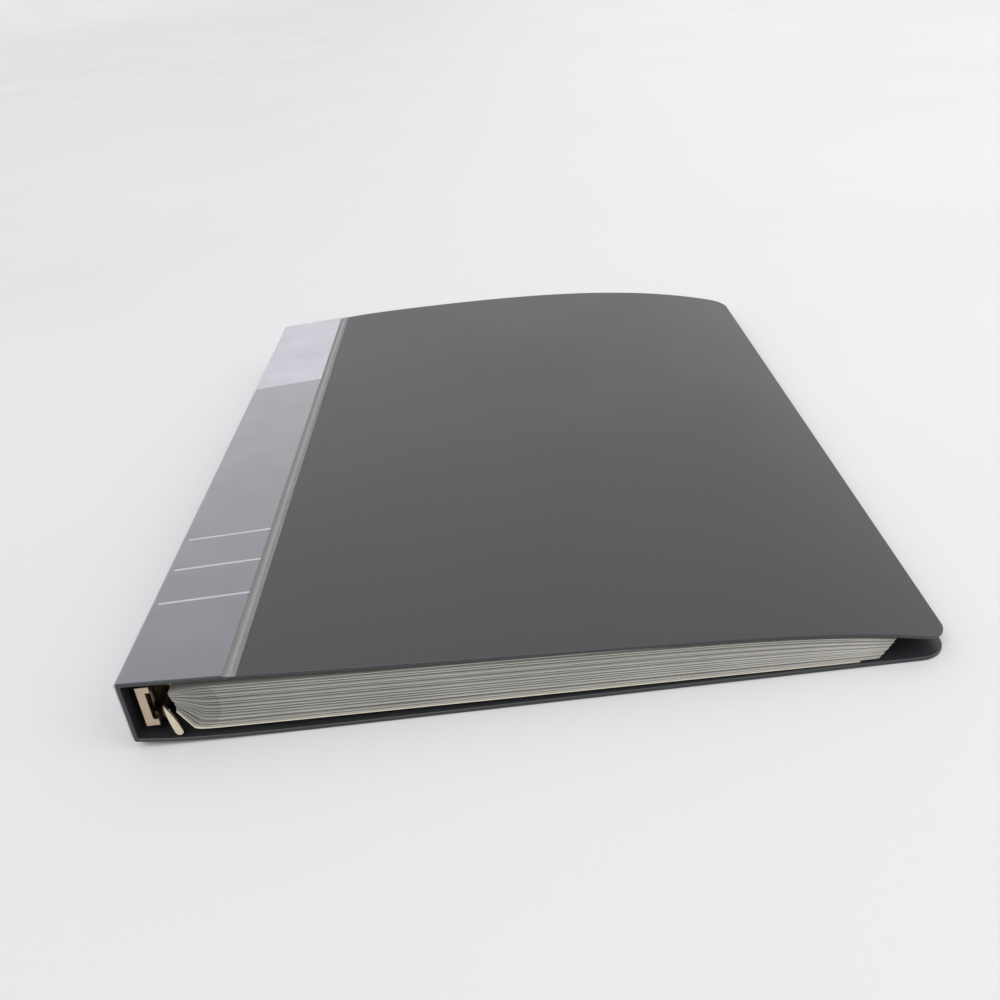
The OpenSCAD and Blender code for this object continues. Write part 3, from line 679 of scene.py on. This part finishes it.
class BINDER_OT_leaves(bpy.types.Operator):
    """Makes the index sheet and the card leaves with their punched margins and pocket films"""

    bl_idname = "binder.leaves"
    bl_label = "Leaves"

    # Distance from the holes to the end of the punched strip, and the number that stands for the whole
    # rest of a sheet in the flat layout.
    STRIP_END = 3.4
    BODY_SCALE = 100.0
    # Angles in degrees for the lowest and the top sheet: of the holes round the ring, and of the margins.
    FAN = (-62, 50)
    MARGIN = (-60, 5)
    # Height, length and phase of the waves that all sheets share.
    SHARED_WAVES = ((0.1, 17, 0.6), (0.08, 41, 2.1))
    # A sheet's own heave and waves as shares of its room, and the waves' lengths along y and along its run.
    OWN_HEAVE = 0.06
    OWN_WAVE = 0.03
    OWN_LENGTHS = (23, 13)
    # Distance from the middle beyond which a sheet's ends are drawn in.
    ENDS_FROM = 142.5

    def execute(self, context):
        b = in_mm(context.scene)
        settings = context.scene.binder
        film = frosted_film(settings.colours, b)
        paper = index_stock(settings.colours)
        layout = self.punched_layout(b)
        names = ["index_sheet"] + LEAVES
        uneven = 0.45
        paths = [self.path(b, number / len(LEAVES)) for number in range(len(names))]
        for number, name in enumerate(names):
            chance = np.random.default_rng(settings.wave_seed + number)
            leaf = SimpleNamespace(
                path=paths[number], room=self.room(paths, number), waves=chance.uniform(0, 2 * math.pi, 2),
                heave=chance.uniform(-1, 1), ends=np.array(b.leaf_ends) + chance.uniform(-uneven, uneven, 2),
            )
            shells = [self.core(b, layout, leaf)]
            if number:
                shells += [self.pockets(b, leaf, side) for side in (-1, 1)]
            piece = new_piece(name + "_films" if number else "index_paper", *joined(shells),
                              film if number else paper)
            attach(piece, name)
            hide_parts(name)
        return {"FINISHED"}

    @staticmethod
    def room(paths, number):
        """The smaller of the gaps to the sheets above and below, along a sheet's path."""
        _, line, _ = paths[number]
        gaps = [np.abs(np.interp(line[:, 0], *paths[other][1].T) - line[:, 1])
                for other in (number - 1, number + 1) if 0 <= other < len(paths)]
        return np.min(gaps, axis=0)

    def punched_layout(self, b):
        """The flat layout of a punched sheet as points (q, y) and quads.

        q is the distance from the line of holes up to STRIP_END, and beyond it the share of the remaining
        sheet. Each hole has a cell of rays from its circle to a rectangle. The rest is a grid on the same
        lines.
        """
        side, half = 5, b.ring_pitch / 2
        end_lines, bend_share = 4, 0.06
        a = np.linspace(-b.edge_margin, self.STRIP_END, side + 1)
        across = np.linspace(-half, half, side + 1)
        loop = np.concatenate((
            np.stack((a[:-1], 0 * a[:-1] - half), 1), np.stack((0 * a[:-1] + a[-1], across[:-1]), 1),
            np.stack((a[:0:-1], 0 * a[:-1] + half), 1), np.stack((0 * a[:-1] + a[0], across[:0:-1]), 1),
        ))
        circle = b.hole_r * loop / np.linalg.norm(loop, axis=1)[:, None]
        out = np.array((0, 0.3, 1))[:, None, None]
        rays = (circle + (loop - circle) * out).reshape(-1, 2)
        n = len(loop)
        step = np.arange(n)
        ring = np.stack((step, step + n, (step + 1) % n + n, (step + 1) % n), 1)
        cell = np.concatenate((ring, ring + n))
        first = -(len(frame_rings(b)) - 1) / 2 * b.ring_pitch - half
        near = np.linspace(b.leaf_ends[0], first, end_lines)
        far = np.linspace(-first, b.leaf_ends[1], end_lines)
        parts = [(rays + (0, y), cell) for y in frame_rings(b)]
        for lines in (near, far):
            parts.append((np.stack(np.meshgrid(a, lines), -1).reshape(-1, 2), grid_quads(end_lines, len(a))))
        middle = first + np.arange(len(frame_rings(b)) * side + 1) * b.ring_pitch / side
        lines = np.concatenate((near[:-1], middle, far[1:]))
        widening = np.sin(np.linspace(0, math.pi / 2, 15)[1:])
        body = np.concatenate((np.linspace(0, bend_share, 10), bend_share + (1 - bend_share) * widening))
        q = self.STRIP_END + self.BODY_SCALE * body
        parts.append((np.stack(np.meshgrid(q, lines), -1).reshape(-1, 2), grid_quads(len(lines), len(q))))
        points, quads = joined(parts)
        _, first_use, same = np.unique(np.round(points, 3), axis=0, return_index=True, return_inverse=True)
        return points[first_use], same.reshape(-1)[quads]

    @staticmethod
    def edge(b, share):
        """Distance from the holes to a sheet's inner edge, half a sine wave more within the stack."""
        return b.edge_margin + b.edge_swell * math.sin(math.pi * share)

    def path(self, b, share):
        """A sheet's line in x and z as distance, points and unit normals.

        A straight margin through the hole, a rounded bend, and a fall to the fore-edge that is straight for
        the lowest sheet and droops at its end for the top leaf.
        """
        fan, lean = (math.radians(low + (top - low) * share) for low, top in (self.FAN, self.MARGIN))
        along = np.array((math.cos(lean), math.sin(lean)))
        hole = np.array((b.ring_x, b.mid_z)) + b.ring_r * np.array((math.cos(fan), math.sin(fan)))
        kink = hole + b.bend_run * along
        end_x = b.cover_w - (b.inset_low + (b.inset_top - b.inset_low) * share if share else b.inset_index)
        gap_below, gap_above = 0.15, 0.9
        droop, droop_power = 0.43, 8
        z_low = b.sheet_t + gap_below
        z_top = float(front_top(b, b.cover_w - b.inset_top, 0)) - b.sheet_t - gap_above
        end = np.array((end_x, z_low + (z_top - z_low) * share))
        margin_w = self.edge(b, share)
        w = np.linspace(0, 1, 240)
        fall = w + (w ** droop_power - w) * droop * share
        body = np.stack((kink[0] + (end[0] - kink[0]) * w, kink[1] + (end[1] - kink[1]) * fall), 1)
        t = np.linspace(0, 1, 24)[:, None]
        strip, after_bend = self.STRIP_END - 0.1, 8
        start, stop = hole + strip * along, body[after_bend]
        bend = (1 - t) ** 2 * start + 2 * t * (1 - t) * kink + t ** 2 * stop
        margin = hole + np.linspace(-margin_w, strip, 30)[:, None] * along
        line = np.concatenate((margin[:-1], bend, body[after_bend + 1:]))
        run = np.concatenate(([0], np.cumsum(np.linalg.norm(np.diff(line, axis=0), axis=1)))) - margin_w
        slope = np.gradient(line, run, axis=0)
        normal = np.stack((-slope[:, 1], slope[:, 0]), 1) / np.linalg.norm(slope, axis=1)[:, None]
        return run, line, normal

    def lay(self, b, leaf, run, y, offset):
        """Points of a sheet at a distance along its path and at y, moved out along its normal.

        Slow waves along y lift all sheets together, and each a little on its own, between the bend and the
        fore-edge. The ends and corners are drawn in as the real sheet was cut.
        """
        steps, line, normal = leaf.path
        total = steps[-1]
        x, z, nx, nz, room = (np.interp(run, steps, value) for value in (*line.T, *normal.T, leaf.room))
        free_from, free_over, settle_over, settle_share = 6, 20, 60, 0.8
        free = np.clip((run - free_from) / free_over, 0, 1)
        settled = 1 - settle_share * np.clip((run - total + settle_over) / settle_over, 0, 1)
        together = sum(height * np.sin(y / size + phase) for height, size, phase in self.SHARED_WAVES)
        ripples = sum(np.sin(way / size + phase)
                      for way, size, phase in zip((y, run), self.OWN_LENGTHS, leaf.waves))
        own = self.OWN_HEAVE * leaf.heave + self.OWN_WAVE * ripples
        offset = offset + free * (settled * together + room * own)
        limit = corner_limit(run, total, 0, b.leaf_corner_r)
        far_end = np.where(y > 0, leaf.ends[1], -leaf.ends[0]) + limit
        nominal = np.where(y > 0, b.leaf_ends[1], -b.leaf_ends[0])
        inner = self.ENDS_FROM
        beyond = np.clip((np.abs(y) - inner) / (nominal - inner), 0, 1)
        y = np.where(np.abs(y) > inner, np.sign(y) * (inner + (far_end - inner) * beyond), y)
        return place(x + nx * offset, y, z + nz * offset)

    def core(self, b, layout, leaf):
        """The punched middle sheet of a leaf as a closed shell."""
        (q, y), quads = layout[0].T, layout[1]
        rest = leaf.path[0][-1] - self.STRIP_END
        share = (q - self.STRIP_END) / self.BODY_SCALE
        run = np.where(q <= self.STRIP_END, q, self.STRIP_END + share * rest)
        run = np.where(q < -b.edge_margin + 0.01, leaf.path[0][0], run)
        t = b.core_t / 2
        return shell(self.lay(b, leaf, run, y, t), self.lay(b, leaf, run, y, -t), quads)

    def pockets(self, b, leaf, side):
        """One face's pocket film: two columns of five pockets that swell between weld lines."""
        rows, steps = 61, 33
        film_from, film_short, welds_from, welds_short = 8, 0.6, 11, 4
        weld_reach, swell_share, weld_play = 5, 0.14, 0.01
        total = leaf.path[0][-1]
        run = np.linspace(film_from, total - film_short, steps)
        y = np.linspace(b.leaf_ends[0], b.leaf_ends[1], rows)[:, None]
        columns = np.linspace(welds_from, total - welds_short, 3)
        to_column = np.abs(run[:, None] - columns).min(1)
        to_row = np.abs(y - pocket_rows(b)).min(1)[:, None]
        swell = (1 - np.exp(-(to_column / weld_reach) ** 2)) * (1 - np.exp(-(to_row / weld_reach) ** 2))
        welded = (b.core_t + b.pocket_t) / 2 + weld_play
        full = np.maximum(welded, swell_share * np.interp(run, leaf.path[0], leaf.room))
        middle = side * (welded + (full - welded) * swell)
        run, y, middle = (value.ravel() for value in np.broadcast_arrays(run, y, middle))
        t = b.pocket_t / 2
        upper, lower = (self.lay(b, leaf, run, y, middle + half) for half in (t, -t))
        return shell(upper, lower, grid_quads(rows, steps))


def pocket_rows(b):
    """Places along y of the weld lines between a column's five pockets."""
    return np.linspace(b.leaf_ends[0], b.leaf_ends[1], 6)[1:-1]


def frame_rings(b):
    """Places of the rings along y, from the row of ring halves in the frame."""
    low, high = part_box("upper_rings")
    wire = 2.1
    count = round(((high.y - low.y) / MM - wire) / b.ring_pitch) + 1
    return (np.arange(count) - (count - 1) / 2) * b.ring_pitch


# Stage


class BINDER_OT_stage(bpy.types.Operator):
    """Makes the pale sweep, the soft light and the camera"""

    bl_idname = "binder.stage"
    bl_label = "Stage"

    def execute(self, context):
        scene = context.scene
        # The sweep is turned about the upright axis. Its profile: a floor, a quarter circle, and a wall.
        floor_end, turn_r, wall_top, below = 7.0, 1.5, 2.2, 0.2 * MM
        sides = 96
        t = np.radians(np.linspace(-90, 0, 25))
        floor_r = np.linspace(1.0, floor_end, 7)
        wall_z = np.linspace(turn_r, wall_top, 3)[1:]
        r = np.concatenate((floor_r[:-1], floor_end + turn_r * np.cos(t), 0 * wall_z + floor_end + turn_r))
        z = np.concatenate((0 * floor_r[:-1], turn_r + turn_r * np.sin(t), wall_z)) - below
        around = np.linspace(0, 2 * math.pi, sides, endpoint=False)
        x, y = r[:, None] * np.cos(around), r[:, None] * np.sin(around)
        points = np.stack(np.broadcast_arrays(x, y, z[:, None]), -1).reshape(-1, 3)
        step = np.arange(sides)
        band = np.stack((step, step + sides, (step + 1) % sides + sides, (step + 1) % sides), 1)
        bands = (band + sides * np.arange(len(r) - 1)[:, None, None]).reshape(-1, 4)
        mesh = bpy.data.meshes.new("sweep")
        mesh.from_pydata(points.tolist(), [], [step.tolist()] + bands.tolist())
        mesh.shade_smooth()
        mesh.materials.append(studio_paper(scene.binder.colours))
        sweep = bpy.data.objects.new("sweep", mesh)
        scene.collection.objects.link(sweep)

        # The surround is white where it is seen or mirrored, and gives part of the light.
        world = bpy.data.worlds.new("studio")
        world.use_nodes = True
        tree = world.node_tree
        path = node(tree, "ShaderNodeLightPath").outputs
        seen = maths(tree, "ADD", path["Is Camera Ray"], path["Is Glossy Ray"])
        white = maths(tree, "ADD", seen, path["Is Transmission Ray"], use_clamp=True)
        ambient = 0.6
        strength = maths(tree, "MULTIPLY_ADD", white, 1 - ambient, ambient)
        fill(tree, tree.nodes["Background"], {"Color": (0.985, 0.985, 0.99, 1.0), "Strength": strength})
        scene.world = world
        for name, kind, where, spread, power in (
            ("sky", "SUN", (-0.3, -0.9, 1.2), math.radians(50), 1.25),
            ("window", "AREA", (3.6, -1.5, 2.7), 3.6, 45.0),
        ):
            lamp = bpy.data.lights.new(name, kind)
            setattr(lamp, "angle" if kind == "SUN" else "size", spread)
            lamp.energy = power
            lamp_object = bpy.data.objects.new(name, lamp)
            scene.collection.objects.link(lamp_object)
            lamp_object.location = where
            lamp_object.rotation_euler = (-Vector(where)).to_track_quat("-Z", "Y").to_euler()

        # The view: yaw to the left, pitch down and roll, in degrees.
        yaw, pitch, roll = (math.radians(angle) for angle in (2.567, 27.804, -8.075))
        forward = Vector((
            -math.sin(yaw) * math.cos(pitch), math.cos(yaw) * math.cos(pitch), -math.sin(pitch),
        ))
        level = Vector((math.cos(yaw), math.sin(yaw), 0))
        rise = level.cross(forward)
        right = math.cos(roll) * level + math.sin(roll) * rise
        up = -math.sin(roll) * level + math.cos(roll) * rise
        camera = bpy.data.cameras.new("camera")
        camera.lens = 38.41
        camera.sensor_width = 36
        camera.clip_start = 0.01
        camera_object = bpy.data.objects.new("camera", camera)
        scene.collection.objects.link(camera_object)
        turn = Matrix((right, up, -forward)).transposed().to_4x4()
        camera_object.matrix_world = Matrix.Translation((0.008685, -0.39836, 0.19577)) @ turn
        scene.camera = camera_object
        scene.view_settings.view_transform = "Standard"
        return {"FINISHED"}


class BINDER_PT_panel(bpy.types.Panel):
    """Lists the binder's steps and settings"""

    bl_idname = "BINDER_PT_panel"
    bl_label = "Card binder"
    bl_space_type = "VIEW_3D"
    bl_region_type = "UI"
    bl_category = "Binder"

    def draw(self, context):
        for operator in OPERATORS:
            self.layout.operator(operator.bl_idname)
        for group, kind in (("sizes", BinderSizes), ("colours", BinderColours)):
            box = self.layout.box()
            for key in kind.__annotations__:
                box.prop(getattr(context.scene.binder, group), key)
        self.layout.prop(context.scene.binder, "wave_seed")


OPERATORS = (BINDER_OT_covers, BINDER_OT_label, BINDER_OT_mechanism, BINDER_OT_leaves, BINDER_OT_stage)
CLASSES = (BinderSizes, BinderColours, BinderSettings, *OPERATORS, BINDER_PT_panel)


def register():
    for kind in CLASSES:
        bpy.utils.register_class(kind)
    bpy.types.Scene.binder = PointerProperty(type=BinderSettings)


def unregister():
    del bpy.types.Scene.binder
    for kind in reversed(CLASSES):
        bpy.utils.unregister_class(kind)


def main():
    register()
    bpy.ops.binder.covers()
    bpy.ops.binder.label()
    bpy.ops.binder.mechanism()
    bpy.ops.binder.leaves()
    bpy.ops.binder.stage()


if __name__ == "__main__":
    main()
